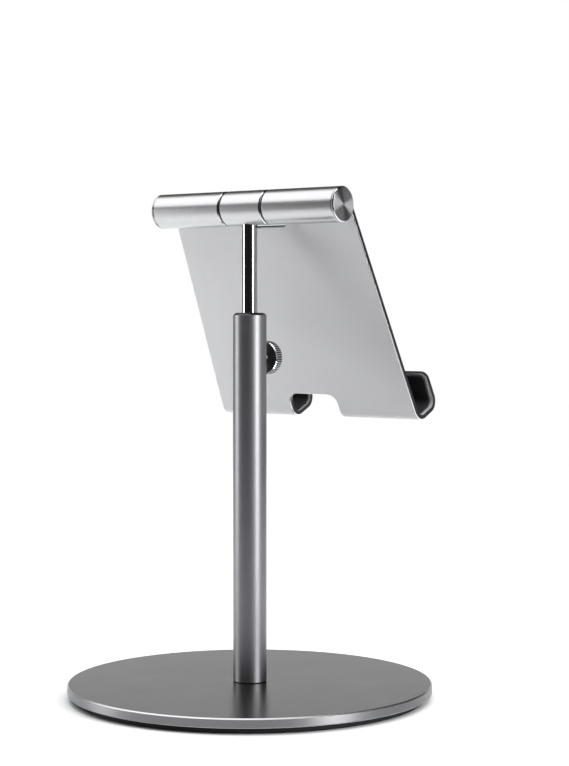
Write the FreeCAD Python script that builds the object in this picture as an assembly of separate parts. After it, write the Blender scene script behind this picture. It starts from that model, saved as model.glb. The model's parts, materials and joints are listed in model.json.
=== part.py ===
"""Desk stand for a tablet: a weighted round base, a telescopic column locked by a thumbscrew, and a
sheet-metal bracket with two hooks that hangs from a friction hinge at the top of the column.

Units are millimetres. +Z is up, the origin is the centre of the base's underside, X runs along the
hinge, and the person using the tablet sits on the -Y side. The head is built upright about the
hinge's axis and then leaned back, so its own sizes are given with the bracket hanging straight down.
"""

import FreeCAD
import Part
import math
import os

Vector = FreeCAD.Vector

# ---------------------------------------------------------------- driving sizes
# Base
base_diameter = 150.0
base_thickness = 3.9
base_top_chamfer = 0.5
base_bottom_chamfer = 0.3
base_pad_diameter = 144.0
base_pad_thickness = 2.5
base_pad_hole_diameter = 19.0
base_pad_groove_radii = (24.0, 46.0)
base_pad_groove_width = 1.6
base_pad_groove_depth = 0.5

# Column
tube_diameter = 13.8
tube_bore_diameter = 9.2
tube_length = 151.8
tube_top_chamfer = 1.0
tube_foot_chamfer = 0.3
tube_mouth_chamfer = 0.3
foot_plug_length = 16.0
guide_bush_length = 30.0
guide_bush_recess = 0.3
rod_diameter = 6.3
rod_exposed_length = 35.6
rod_shoulder_width = 1.15
rod_guide_length = 10.0
rod_guide_chamfer = 0.4
lift_up = 65.0

# Thumbscrew that locks the rod
thumbscrew_below_tube_top = 18.6
thumbscrew_diameter = 4.0
knob_diameter = 13.8
knob_thickness = 4.1
knob_stand_off = 2.55
knob_teeth = 45
knob_tooth_depth = 0.35
knob_chamfer = 0.45
knob_dish_diameter = 8.0
knob_dish_depth = 0.4
screw_recess_in_knob = 0.6
screw_reach_in_bush = 0.4
screw_wall_at_tip = 0.8
tip_head_inset = 0.3
tip_stem_length = 1.3

# Hinge barrel
barrel_diameter = 14.4
hub_length = 20.6
barrel_body_length = 34.8
barrel_inner_chamfer = 0.4
barrel_outer_chamfer = 0.2
barrel_flat_depth = 1.9
end_cap_thickness = 1.15
end_cap_chamfer = 0.45
end_cap_spigot_diameter = 8.0
end_cap_spigot_length = 4.0
axle_diameter = 5.0
axle_grip_length = 13.0
hub_socket_depth = 0.8
hub_spigot_shoulder = 0.65
hub_wall_over_axle = 1.1
friction_washer_thickness = 0.4
spring_washer_thickness = 0.4
hinge_washer_diameter = 13.2

# Bracket
sheet_thickness = 2.0
bracket_drop = 101.0
bracket_foot_width = 103.2
bracket_end_gap = 0.1
bracket_top_inset = 0.3
hook_channel = 12.4
hook_bend_radius = 3.5
hook_lip_height = 16.5
lip_corner_radius = 3.0
bracket_top_corner_radius = 1.2
cable_notch_width = 25.0
cable_notch_height = 12.5
cable_notch_radius = 4.5
hub_cutout_below_barrel = 3.7
hub_cutout_radius = 1.5
hub_cutout_side_step = 0.2
bracket_edge_chamfer = 0.3

# Pads on the bracket
pad_thickness = 1.0
pad_edge_margin = 1.0
front_pad_corner_radius = 4.0
front_pad_top_margin = 1.0
pad_joint_gap = 0.6

# Pose of the head
recline_deg = 25.3

# Fasteners
base_screw_diameter = 6.0
base_screw_length = 16.0
base_screw_socket = 4.0
base_screw_socket_depth = 2.0
plate_screw_diameter = 3.0
plate_screw_head_diameter = 5.8
plate_screw_length = 7.0
plate_screw_wall = 0.9
plate_screw_socket = 2.0
plate_screw_socket_depth = 1.1
retaining_screw_diameter = 3.0
retaining_screw_head_diameter = 5.5
retaining_screw_head_height = 1.8
retaining_screw_length = 7.0
retaining_screw_socket = 2.0
retaining_washer_thickness = 0.6
retaining_washer_diameter = 8.0

# Clearances
press_clearance = 0.02
running_clearance = 0.05
sliding_clearance = 0.10
contact_gap = 0.05
lift_stop_gap = 0.5
thread_run_out = 0.5
head_sink = 0.2

# ---------------------------------------------------------------- places worked out from the sizes
base_radius = base_diameter / 2
base_top = base_pad_thickness + base_thickness
tube_radius = tube_diameter / 2
tube_bore_radius = tube_bore_diameter / 2
tube_top = base_top + tube_length
rod_radius = rod_diameter / 2
barrel_radius = barrel_diameter / 2
hinge_height = tube_top + rod_exposed_length + barrel_radius
axle_radius = axle_diameter / 2

bush_top = tube_top - guide_bush_recess
bush_bottom = bush_top - guide_bush_length
plug_top = base_top + foot_plug_length

# The rod's guide stops under the bush at the top of the travel. Below it, the plug is the stop.
rod_guide_top = bush_bottom - lift_up - lift_stop_gap
rod_guide_bottom = rod_guide_top - rod_guide_length
rod_shoulder = rod_guide_top + contact_gap
rod_end = rod_guide_bottom - contact_gap
retaining_head_top = rod_end - retaining_washer_thickness
rod_foot_bottom = retaining_head_top - retaining_screw_head_height
rod_spigot_radius = rod_radius - rod_shoulder_width

thumbscrew_height = tube_top - thumbscrew_below_tube_top
thumbscrew_radius = thumbscrew_diameter / 2
knob_radius = knob_diameter / 2
knob_back = tube_radius + knob_stand_off
knob_front = knob_back + knob_thickness
tip_face = rod_radius + contact_gap
screw_end = tube_bore_radius - screw_reach_in_bush
tip_head_radius = thumbscrew_radius - tip_head_inset
tip_stem_radius = thumbscrew_radius - screw_wall_at_tip

hub_half = hub_length / 2
washer_start = hub_half + contact_gap
spring_start = washer_start + friction_washer_thickness
barrel_start = spring_start + spring_washer_thickness + contact_gap
barrel_end = barrel_start + barrel_body_length
cap_start = barrel_end + contact_gap
cap_end = cap_start + end_cap_thickness
hinge_washer_radius = hinge_washer_diameter / 2
hub_seat = barrel_radius - hub_socket_depth
hub_spigot_radius = rod_radius - hub_spigot_shoulder
hub_spigot_top = axle_radius + hub_wall_over_axle

bracket_back = barrel_radius - barrel_flat_depth
bracket_front = bracket_back + sheet_thickness
bracket_top = math.sqrt(barrel_radius**2 - bracket_back**2) - bracket_top_inset
lip_inner = bracket_front + hook_channel
lip_outer = lip_inner + sheet_thickness
bend_outer_radius = hook_bend_radius + sheet_thickness
bend_height = -bracket_drop + bend_outer_radius
bend_near_depth = bracket_front + hook_bend_radius
bend_far_depth = lip_inner - hook_bend_radius
channel_middle = (bracket_front + lip_inner) / 2
lip_top = -bracket_drop + hook_lip_height
cap_reach_below_axis = math.sqrt(barrel_radius**2 - bracket_back**2)
bracket_half_at_cap = barrel_end - bracket_end_gap
bracket_half_at_foot = bracket_foot_width / 2
notch_top = -bracket_drop + cable_notch_height
cutout_half = barrel_start + hub_cutout_side_step
cutout_bottom = -(barrel_radius + hub_cutout_below_barrel)
front_pad_bottom = notch_top + pad_edge_margin
axle_thread_end = barrel_start + axle_grip_length + thread_run_out
cap_bore_start = barrel_end - end_cap_spigot_length - thread_run_out
plate_screw_inset = plate_screw_wall + plate_screw_diameter / 2
plate_screw_places = [axle_thread_end + plate_screw_inset, cap_bore_start - plate_screw_inset]

X_AXIS = Vector(1, 0, 0)
Y_AXIS = Vector(0, 1, 0)
Z_AXIS = Vector(0, 0, 1)


# ---------------------------------------------------------------- shape helpers
def rod_along(axis, radius, start, end, centre=Vector(0, 0, 0)):
    """A cylinder on an axis through centre, from start to end along that axis."""
    low, high = min(start, end), max(start, end)
    return Part.makeCylinder(radius, high - low, centre + axis * low, axis)


def cone_along(axis, start_radius, end_radius, start, end, centre=Vector(0, 0, 0)):
    """A cone on an axis through centre, with start_radius at start and end_radius at end."""
    direction = axis if end > start else axis * -1
    return Part.makeCone(start_radius, end_radius, abs(end - start), centre + axis * start, direction)


def turned(profile, axis=Z_AXIS, centre=Vector(0, 0, 0)):
    """A solid of revolution. profile lists (distance along the axis, radius) round the section."""
    side = Vector(1, 0, 0) if axis != X_AXIS else Vector(0, 0, 1)
    points = [centre + axis * along + side * radius for along, radius in profile]
    face = Part.Face(Part.makePolygon(points + [points[0]]))
    return face.revolve(centre, axis, 360)


def hexagon_prism(across_flats, axis, start, end, centre=Vector(0, 0, 0)):
    """A hexagonal prism for a socket, on an axis through centre."""
    corner = across_flats / math.sqrt(3)
    one = Vector(1, 0, 0) if axis != X_AXIS else Vector(0, 1, 0)
    two = axis.cross(one)
    low, high = min(start, end), max(start, end)
    points = []
    for side in range(6):
        angle = math.radians(60 * side)
        ray = one * (corner * math.cos(angle)) + two * (corner * math.sin(angle))
        points.append(centre + axis * low + ray)
    face = Part.Face(Part.makePolygon(points + [points[0]]))
    return face.extrude(axis * (high - low))


def washer_along_x(outer_radius, inner_radius, start, end):
    return rod_along(X_AXIS, outer_radius, start, end).cut(rod_along(X_AXIS, inner_radius, start, end))


def rounded_outline(corners, radii, depth):
    """A closed outline in the XZ plane at Y = depth. corners lists (x, z), radii one radius each."""
    count = len(corners)
    edges = []
    starts = []
    ends = []
    arcs = []
    for i in range(count):
        here = Vector(corners[i][0], depth, corners[i][1])
        before = Vector(corners[i - 1][0], depth, corners[i - 1][1]) - here
        after = Vector(corners[(i + 1) % count][0], depth, corners[(i + 1) % count][1]) - here
        before.normalize()
        after.normalize()
        if radii[i] == 0:
            starts.append(here)
            ends.append(here)
            arcs.append(None)
            continue
        half = before.getAngle(after) / 2
        reach = radii[i] / math.tan(half)
        bisector = before + after
        bisector.normalize()
        centre = here + bisector * (radii[i] / math.sin(half))
        middle = centre - bisector * radii[i]
        starts.append(here + before * reach)
        ends.append(here + after * reach)
        arcs.append(Part.Arc(starts[i], middle, ends[i]).toShape())
    for i in range(count):
        if arcs[i] is not None:
            edges.append(arcs[i])
        edges.append(Part.LineSegment(ends[i], starts[(i + 1) % count]).toShape())
    return Part.Wire(edges)


def leaned_back(shape):
    """Puts a shape of the upright head at the hinge's height and leans it back."""
    placed = shape.copy()
    placed.Placement = FreeCAD.Placement(
        Vector(0, 0, hinge_height), FreeCAD.Rotation(X_AXIS, -recline_deg)
    )
    return placed


def mirrored_in_x(shape):
    return shape.mirror(Vector(0, 0, 0), X_AXIS)


def bracket_half_width(height):
    """Half the bracket's width at a height above the hinge's axis. It widens downwards past the caps."""
    share = -(height + cap_reach_below_axis) / (bracket_drop - cap_reach_below_axis)
    return bracket_half_at_cap + (bracket_half_at_foot - bracket_half_at_cap) * share


# ---------------------------------------------------------------- base
def make_base_disc():
    """Heavy steel disc, drilled and countersunk from below for the column's screw."""
    low = base_pad_thickness
    disc = turned(
        [
            (low, 0),
            (low, base_radius - base_bottom_chamfer),
            (low + base_bottom_chamfer, base_radius),
            (base_top - base_top_chamfer, base_radius),
            (base_top, base_radius - base_top_chamfer),
            (base_top, 0),
        ]
    )
    shank = base_screw_diameter / 2 + sliding_clearance
    head = base_screw_diameter + sliding_clearance
    head_low = low + head_sink
    disc = disc.cut(rod_along(Z_AXIS, head, low, head_low))
    disc = disc.cut(cone_along(Z_AXIS, head, shank, head_low, head_low + head - shank))
    return disc.cut(rod_along(Z_AXIS, shank, head_low, base_top))


def make_base_pad():
    """Silicone ring glued under the disc, with shallow grooves that grip the desk."""
    outer = base_pad_diameter / 2
    inner = base_pad_hole_diameter / 2
    edge = 0.4
    pad = turned(
        [
            (0, inner),
            (0, outer - edge),
            (edge, outer),
            (base_pad_thickness, outer),
            (base_pad_thickness, inner),
        ]
    )
    for radius in base_pad_groove_radii:
        ring = rod_along(Z_AXIS, radius + base_pad_groove_width / 2, 0, base_pad_groove_depth)
        ring = ring.cut(rod_along(Z_AXIS, radius - base_pad_groove_width / 2, 0, base_pad_groove_depth))
        pad = pad.cut(ring)
    return pad


def make_base_screw():
    """Countersunk socket screw that pulls the column down onto the disc."""
    radius = base_screw_diameter / 2
    head = base_screw_diameter
    low = base_pad_thickness + head_sink
    neck = low + head - radius
    screw = cone_along(Z_AXIS, head, radius, low, neck)
    screw = screw.fuse(rod_along(Z_AXIS, radius, neck, low + base_screw_length))
    return screw.cut(hexagon_prism(base_screw_socket, Z_AXIS, low, low + base_screw_socket_depth))


def make_foot_plug():
    """Steel plug pressed into the tube's foot and tapped for the base screw."""
    plug = rod_along(Z_AXIS, tube_bore_radius - press_clearance, base_top, plug_top)
    tapped = base_screw_diameter / 2 + press_clearance
    return plug.cut(rod_along(Z_AXIS, tapped, base_top, plug_top))


# ---------------------------------------------------------------- column
def thumbscrew_hole(radius):
    centre = Vector(0, 0, thumbscrew_height)
    return rod_along(Y_AXIS, radius, -tube_radius - 1, 0, centre)


def make_outer_tube():
    """Aluminium tube with a chamfered mouth and a tapped hole for the thumbscrew."""
    tube = turned(
        [
            (base_top, tube_bore_radius),
            (base_top, tube_radius - tube_foot_chamfer),
            (base_top + tube_foot_chamfer, tube_radius),
            (tube_top - tube_top_chamfer, tube_radius),
            (tube_top, tube_radius - tube_top_chamfer),
            (tube_top, tube_bore_radius + tube_mouth_chamfer),
            (tube_top - tube_mouth_chamfer, tube_bore_radius),
        ]
    )
    return tube.cut(thumbscrew_hole(thumbscrew_radius + running_clearance))


def make_guide_bush():
    """Brass sleeve in the tube's mouth that guides the rod and backs the thumbscrew's thread."""
    bush = rod_along(Z_AXIS, tube_bore_radius - press_clearance, bush_bottom, bush_top)
    bush = bush.cut(rod_along(Z_AXIS, rod_radius + running_clearance, bush_bottom, bush_top))
    return bush.cut(thumbscrew_hole(thumbscrew_radius + running_clearance))


def make_rod_guide():
    """Plastic guide that slides in the tube and turns on the rod's lower spigot."""
    low = rod_guide_bottom
    edge = rod_guide_chamfer
    outer = tube_bore_radius - sliding_clearance
    guide = turned(
        [
            (low, 0),
            (low, outer - edge),
            (low + edge, outer),
            (rod_guide_top - edge, outer),
            (rod_guide_top, outer - edge),
            (rod_guide_top, 0),
        ]
    )
    return guide.cut(rod_along(Z_AXIS, rod_spigot_radius + running_clearance, low, rod_guide_top))


def make_lift_rod():
    """Polished steel rod, turned down at the foot for its guide and at the top for the hub."""
    seat = hinge_height - hub_seat
    edge = 0.2
    rod = turned(
        [
            (rod_end, 0),
            (rod_end, rod_spigot_radius),
            (rod_shoulder, rod_spigot_radius),
            (rod_shoulder, rod_radius - edge),
            (rod_shoulder + edge, rod_radius),
            (seat - edge, rod_radius),
            (seat, rod_radius - edge),
            (seat, hub_spigot_radius),
            (hinge_height - hub_spigot_top - contact_gap, hub_spigot_radius),
            (hinge_height - hub_spigot_top - contact_gap, 0),
        ]
    )
    tapped = retaining_screw_diameter / 2 + press_clearance
    depth = rod_end + retaining_screw_length + thread_run_out
    return rod.cut(rod_along(Z_AXIS, tapped, rod_end, depth))


def make_retaining_washer():
    hole = retaining_screw_diameter / 2 + sliding_clearance
    disc = rod_along(Z_AXIS, retaining_washer_diameter / 2, retaining_head_top, rod_end)
    return disc.cut(rod_along(Z_AXIS, hole, retaining_head_top, rod_end))


def make_retaining_screw():
    """Pan-head screw in the rod's foot that keeps the guide on its spigot."""
    head = rod_along(Z_AXIS, retaining_screw_head_diameter / 2, rod_foot_bottom, retaining_head_top)
    tip = retaining_head_top + retaining_screw_length
    screw = head.fuse(rod_along(Z_AXIS, retaining_screw_diameter / 2, retaining_head_top, tip))
    socket_top = rod_foot_bottom + retaining_screw_head_height / 2
    return screw.cut(hexagon_prism(retaining_screw_socket, Z_AXIS, rod_foot_bottom, socket_top))


# ---------------------------------------------------------------- thumbscrew
def make_thumb_knob():
    """Knurled aluminium knob: straight teeth round a turned disc with a dished face."""
    centre = Vector(0, 0, thumbscrew_height)
    points = []
    for tooth in range(2 * knob_teeth):
        radius = knob_radius if tooth % 2 == 0 else knob_radius - knob_tooth_depth
        angle = math.pi * tooth / knob_teeth
        points.append(centre + Vector(radius * math.cos(angle), -knob_front, radius * math.sin(angle)))
    toothed = Part.Face(Part.makePolygon(points + [points[0]]))
    toothed = toothed.extrude(Vector(0, knob_thickness, 0))
    chamfered = turned(
        [
            (-knob_front, 0),
            (-knob_front, knob_radius - knob_chamfer),
            (-knob_front + knob_chamfer, knob_radius),
            (-knob_back - knob_chamfer, knob_radius),
            (-knob_back, knob_radius - knob_chamfer),
            (-knob_back, 0),
        ],
        Y_AXIS,
        centre,
    )
    knob = toothed.common(chamfered)
    dish = rod_along(Y_AXIS, knob_dish_diameter / 2, -knob_front, -knob_front + knob_dish_depth, centre)
    bore = rod_along(Y_AXIS, thumbscrew_radius + press_clearance, -knob_front, -knob_back, centre)
    return knob.cut(dish).cut(bore)


def make_thumb_screw():
    """Steel screw pressed into the knob, bored at its end for the soft tip."""
    centre = Vector(0, 0, thumbscrew_height)
    outer_end = -(knob_front - screw_recess_in_knob)
    inner_end = -screw_end
    screw = rod_along(Y_AXIS, thumbscrew_radius, outer_end, inner_end, centre)
    bore_end = inner_end - tip_stem_length - contact_gap
    return screw.cut(rod_along(Y_AXIS, tip_stem_radius + running_clearance, bore_end, inner_end, centre))


def make_thumb_tip():
    """Nylon tip that presses on the rod without turning with the screw."""
    centre = Vector(0, 0, thumbscrew_height)
    shoulder = -(screw_end - contact_gap)
    head = rod_along(Y_AXIS, tip_head_radius, shoulder, -tip_face, centre)
    return head.fuse(rod_along(Y_AXIS, tip_stem_radius, shoulder - tip_stem_length, shoulder, centre))


# ---------------------------------------------------------------- hinge
def make_hub():
    """Middle piece of the hinge barrel, fixed on the rod and bored for the axle."""
    hub = turned(
        [
            (-hub_half, 0),
            (-hub_half, barrel_radius - barrel_inner_chamfer),
            (-hub_half + barrel_inner_chamfer, barrel_radius),
            (hub_half - barrel_inner_chamfer, barrel_radius),
            (hub_half, barrel_radius - barrel_inner_chamfer),
            (hub_half, 0),
        ],
        X_AXIS,
    )
    hub = hub.cut(rod_along(X_AXIS, axle_radius + running_clearance, -hub_half, hub_half))
    hub.translate(Vector(0, 0, hinge_height))
    seat = hinge_height - hub_seat
    hub = hub.cut(rod_along(Z_AXIS, rod_radius + running_clearance, hinge_height - barrel_diameter, seat))
    socket = rod_along(Z_AXIS, hub_spigot_radius + press_clearance, seat, hinge_height - hub_spigot_top)
    return hub.cut(socket)


def make_hinge_axle():
    """Steel stud through the hub, screwed into both outer barrels."""
    edge = 0.5
    end = barrel_start + axle_grip_length
    return turned(
        [
            (-end, 0),
            (-end, axle_radius - edge),
            (-end + edge, axle_radius),
            (end - edge, axle_radius),
            (end, axle_radius - edge),
            (end, 0),
        ],
        X_AXIS,
    )


def make_friction_washer():
    """Plastic washer against the hub. The hinge's drag comes from here."""
    end = washer_start + friction_washer_thickness
    return washer_along_x(hinge_washer_radius, axle_radius + running_clearance, washer_start, end)


def make_spring_washer():
    """Steel washer that loads the plastic one."""
    end = spring_start + spring_washer_thickness
    return washer_along_x(hinge_washer_radius, axle_radius + running_clearance, spring_start, end)


def plate_screw_axes():
    """The plate screws' centres on one side, on the hinge's axis."""
    return [Vector(place, 0, 0) for place in plate_screw_places]


def make_barrel():
    """Outer barrel: solid bar with a flat for the bracket, tapped for the axle and its two screws."""
    barrel = turned(
        [
            (barrel_start, 0),
            (barrel_start, barrel_radius - barrel_inner_chamfer),
            (barrel_start + barrel_inner_chamfer, barrel_radius),
            (barrel_end - barrel_outer_chamfer, barrel_radius),
            (barrel_end, barrel_radius - barrel_outer_chamfer),
            (barrel_end, 0),
        ],
        X_AXIS,
    )
    flat = Part.makeBox(
        barrel_body_length + 2,
        barrel_flat_depth + 1,
        barrel_diameter + 2,
        Vector(barrel_start - 1, -bracket_back - barrel_flat_depth - 1, -barrel_radius - 1),
    )
    barrel = barrel.cut(flat)
    barrel = barrel.cut(
        rod_along(X_AXIS, axle_radius + press_clearance, barrel_start, axle_thread_end)
    )
    spigot_bore = end_cap_spigot_diameter / 2 + press_clearance
    barrel = barrel.cut(rod_along(X_AXIS, spigot_bore, cap_bore_start, barrel_end))
    hole_end = -bracket_front + plate_screw_length + thread_run_out
    for centre in plate_screw_axes():
        hole = rod_along(
            Y_AXIS, plate_screw_diameter / 2 + press_clearance, -bracket_front, hole_end, centre
        )
        barrel = barrel.cut(hole)
    return barrel


def make_end_cap():
    """Turned aluminium cap with a bright rim, pressed into the barrel's open end."""
    edge = 0.12
    spigot = end_cap_spigot_diameter / 2
    return turned(
        [
            (cap_start - end_cap_spigot_length, 0),
            (cap_start - end_cap_spigot_length, spigot),
            (cap_start, spigot),
            (cap_start, barrel_radius - edge),
            (cap_start + edge, barrel_radius),
            (cap_end - end_cap_chamfer, barrel_radius),
            (cap_end, barrel_radius - end_cap_chamfer),
            (cap_end, 0),
        ],
        X_AXIS,
    )


def make_plate_screws():
    """Four countersunk screws that hold the bracket on the barrels' flats."""
    radius = plate_screw_diameter / 2
    head = plate_screw_head_diameter / 2
    screws = []
    for centre in plate_screw_axes():
        top = -bracket_front
        neck = top + head - radius
        screw = cone_along(Y_AXIS, head, radius, top, neck, centre)
        screw = screw.fuse(rod_along(Y_AXIS, radius, neck, top + plate_screw_length, centre))
        socket_end = top + plate_screw_socket_depth
        screw = screw.cut(hexagon_prism(plate_screw_socket, Y_AXIS, top, socket_end, centre))
        screws += [screw, mirrored_in_x(screw)]
    return Part.makeCompound(screws)


# ---------------------------------------------------------------- bracket
def bend_arc(depth, radius, start_side):
    """A quarter bend below a centre at depth. start_side is 1 towards the plate, -1 towards the lip."""
    centre = Vector(0, -depth, bend_height)
    slant = radius / math.sqrt(2)
    side = centre + Vector(0, start_side * radius, 0)
    middle = centre + Vector(0, start_side * slant, -slant)
    return Part.Arc(side, middle, centre - Vector(0, 0, radius))


def hook_section(front, back, top, lip, inner_radius, outer_radius, lip_face, lip_back):
    """The section of the sheet or of its lining in the YZ plane: plate, bend, flat floor, bend, lip."""
    floor_low = bend_height - outer_radius
    floor_high = bend_height - inner_radius
    near, far, z = -bend_near_depth, -bend_far_depth, bend_height
    outline = [
        Part.LineSegment(Vector(0, -back, top), Vector(0, -back, z)),
        bend_arc(bend_near_depth, outer_radius, 1),
        Part.LineSegment(Vector(0, near, floor_low), Vector(0, far, floor_low)),
        bend_arc(bend_far_depth, outer_radius, -1),
        Part.LineSegment(Vector(0, -lip_back, z), Vector(0, -lip_back, lip)),
        Part.LineSegment(Vector(0, -lip_back, lip), Vector(0, -lip_face, lip)),
        Part.LineSegment(Vector(0, -lip_face, lip), Vector(0, -lip_face, z)),
        bend_arc(bend_far_depth, inner_radius, -1),
        Part.LineSegment(Vector(0, far, floor_high), Vector(0, near, floor_high)),
        bend_arc(bend_near_depth, inner_radius, 1),
        Part.LineSegment(Vector(0, -front, z), Vector(0, -front, top)),
        Part.LineSegment(Vector(0, -front, top), Vector(0, -back, top)),
    ]
    return Part.Face(Part.Wire([edge.toShape() for edge in outline]))


def make_bracket():
    """Bent aluminium sheet: a tapered plate whose foot turns up into two hooks beside a cable notch."""
    widest = bracket_half_at_foot + 5
    section = hook_section(
        bracket_front,
        bracket_back,
        bracket_top,
        lip_top,
        hook_bend_radius,
        bend_outer_radius,
        lip_inner,
        lip_outer,
    )
    section.translate(Vector(-widest, 0, 0))
    sheet = section.extrude(Vector(2 * widest, 0, 0))
    depth = lip_outer + 2
    top = bracket_top + 1
    foot = -bracket_drop - 1
    taper = rounded_outline(
        [
            (-bracket_half_width(top), top),
            (bracket_half_width(top), top),
            (bracket_half_width(foot), foot),
            (-bracket_half_width(foot), foot),
        ],
        [0, 0, 0, 0],
        -depth,
    )
    sheet = sheet.common(Part.Face(taper).extrude(Vector(0, depth, 0)))
    notch_half = cable_notch_width / 2
    notch = rounded_outline(
        [(-notch_half, foot), (-notch_half, notch_top), (notch_half, notch_top), (notch_half, foot)],
        [0, cable_notch_radius, cable_notch_radius, 0],
        -depth,
    )
    sheet = sheet.cut(Part.Face(notch).extrude(Vector(0, depth, 0)))
    lip_gap = Part.makeBox(
        cable_notch_width,
        depth - channel_middle,
        hook_lip_height + 2,
        Vector(-notch_half, -depth, foot),
    )
    sheet = sheet.cut(lip_gap)
    cutout = rounded_outline(
        [
            (-cutout_half, top),
            (-cutout_half, cutout_bottom),
            (cutout_half, cutout_bottom),
            (cutout_half, top),
        ],
        [0, hub_cutout_radius, hub_cutout_radius, 0],
        -depth,
    )
    sheet = sheet.cut(Part.Face(cutout).extrude(Vector(0, depth, 0)))
    sheet = round_across_sheet(sheet, lip_top, lip_corner_radius)
    sheet = round_across_sheet(sheet, bracket_top, bracket_top_corner_radius)
    sheet = chamfer_sheet_edges(sheet, bracket_edge_chamfer)
    for centre in plate_screw_axes():
        radius = plate_screw_diameter / 2 + sliding_clearance
        head = plate_screw_head_diameter / 2 + press_clearance
        hole = rod_along(Y_AXIS, radius, -bracket_front, -bracket_back, centre)
        sink_end = -bracket_front + head - radius
        hole = hole.fuse(cone_along(Y_AXIS, head, radius, -bracket_front, sink_end, centre))
        sheet = sheet.cut(hole).cut(mirrored_in_x(hole))
    return sheet


def round_across_sheet(sheet, height, radius):
    """Rounds the sheet's corners at one height, along the edges that cross its thickness."""
    edges = []
    for edge in sheet.Edges:
        box = edge.BoundBox
        across = abs(box.YLength - sheet_thickness) < 0.01 and box.XLength < 0.01
        if across and box.ZLength < 0.01 and abs(box.ZMax - height) < 0.01:
            edges.append(edge)
    return sheet.makeFillet(radius, edges)


def chamfer_sheet_edges(sheet, size):
    """Chamfers the cut outline on the sheet's outer face, the side away from the tablet."""
    chosen = []
    for edge in sheet.Edges:
        middle = edge.valueAt((edge.FirstParameter + edge.LastParameter) / 2)
        on_back = abs(middle.y + bracket_back) < 0.01 and middle.z >= bend_height - 0.01
        nearest_depth = min(max(-middle.y, bend_near_depth), bend_far_depth)
        radial = math.hypot(middle.y + nearest_depth, middle.z - bend_height)
        on_bend = middle.z < bend_height and abs(radial - bend_outer_radius) < 0.01
        on_lip = abs(middle.y + lip_outer) < 0.01 and middle.z >= bend_height - 0.01
        along_bend_line = (
            middle.z < bend_height + 0.01
            and edge.BoundBox.XLength > 1
            and edge.BoundBox.ZLength < 0.01
        )
        if (on_back or on_bend or on_lip) and not along_bend_line:
            chosen.append(edge)
    return sheet.makeChamfer(size, chosen)


# ---------------------------------------------------------------- pads
def make_front_pad():
    """Silicone sheet glued on the front of the plate, cut away round the hub."""
    top = bracket_top - front_pad_top_margin
    low = front_pad_bottom
    gap = cutout_half + pad_edge_margin
    gap_low = cutout_bottom - pad_edge_margin
    corner = front_pad_corner_radius
    small = hub_cutout_radius
    margin = pad_edge_margin
    outline = rounded_outline(
        [
            (-bracket_half_width(low) + margin, low),
            (-bracket_half_width(top) + margin, top),
            (-gap, top),
            (-gap, gap_low),
            (gap, gap_low),
            (gap, top),
            (bracket_half_width(top) - margin, top),
            (bracket_half_width(low) - margin, low),
        ],
        [corner, corner, small, small, small, small, corner, corner],
        -bracket_front - pad_thickness,
    )
    return Part.Face(outline).extrude(Vector(0, pad_thickness, 0))


def make_hook_pad():
    """Silicone lining of one hook, bent round the bottom of the channel and up the lip."""
    top = front_pad_bottom - pad_joint_gap
    section = hook_section(
        bracket_front + pad_thickness,
        bracket_front,
        top,
        lip_top - pad_edge_margin,
        hook_bend_radius - pad_thickness,
        hook_bend_radius,
        lip_inner - pad_thickness,
        lip_inner,
    )
    start = cable_notch_width / 2 + pad_edge_margin
    section.translate(Vector(start, 0, 0))
    length = bracket_half_width(top) - pad_edge_margin - start
    return section.extrude(Vector(length, 0, 0))


# ---------------------------------------------------------------- write the parts
def export(name, shape):
    shape.exportStep(os.path.join("parts", name + ".step"))


os.makedirs("parts", exist_ok=True)

export("base_disc", make_base_disc())
export("base_pad", make_base_pad())
export("base_screw", make_base_screw())
export("foot_plug", make_foot_plug())
export("outer_tube", make_outer_tube())
export("guide_bush", make_guide_bush())
export("rod_guide", make_rod_guide())
export("lift_rod", make_lift_rod())
export("retaining_washer", make_retaining_washer())
export("retaining_screw", make_retaining_screw())
export("thumb_knob", make_thumb_knob())
export("thumb_screw", make_thumb_screw())
export("thumb_tip", make_thumb_tip())
export("hinge_hub", make_hub())

export("hinge_axle", leaned_back(make_hinge_axle()))
export("bracket", leaned_back(make_bracket()))
export("plate_screws", leaned_back(make_plate_screws()))
export("front_pad", leaned_back(make_front_pad()))

paired = {
    "friction_washer": make_friction_washer(),
    "spring_washer": make_spring_washer(),
    "barrel": make_barrel(),
    "end_cap": make_end_cap(),
    "hook_pad": make_hook_pad(),
}
for name, shape in paired.items():
    export(name + "_right", leaned_back(shape))
    export(name + "_left", leaned_back(mirrored_in_x(shape)))
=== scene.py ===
import json
import math

import bmesh
import bpy
from mathutils import Matrix, Vector


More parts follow.
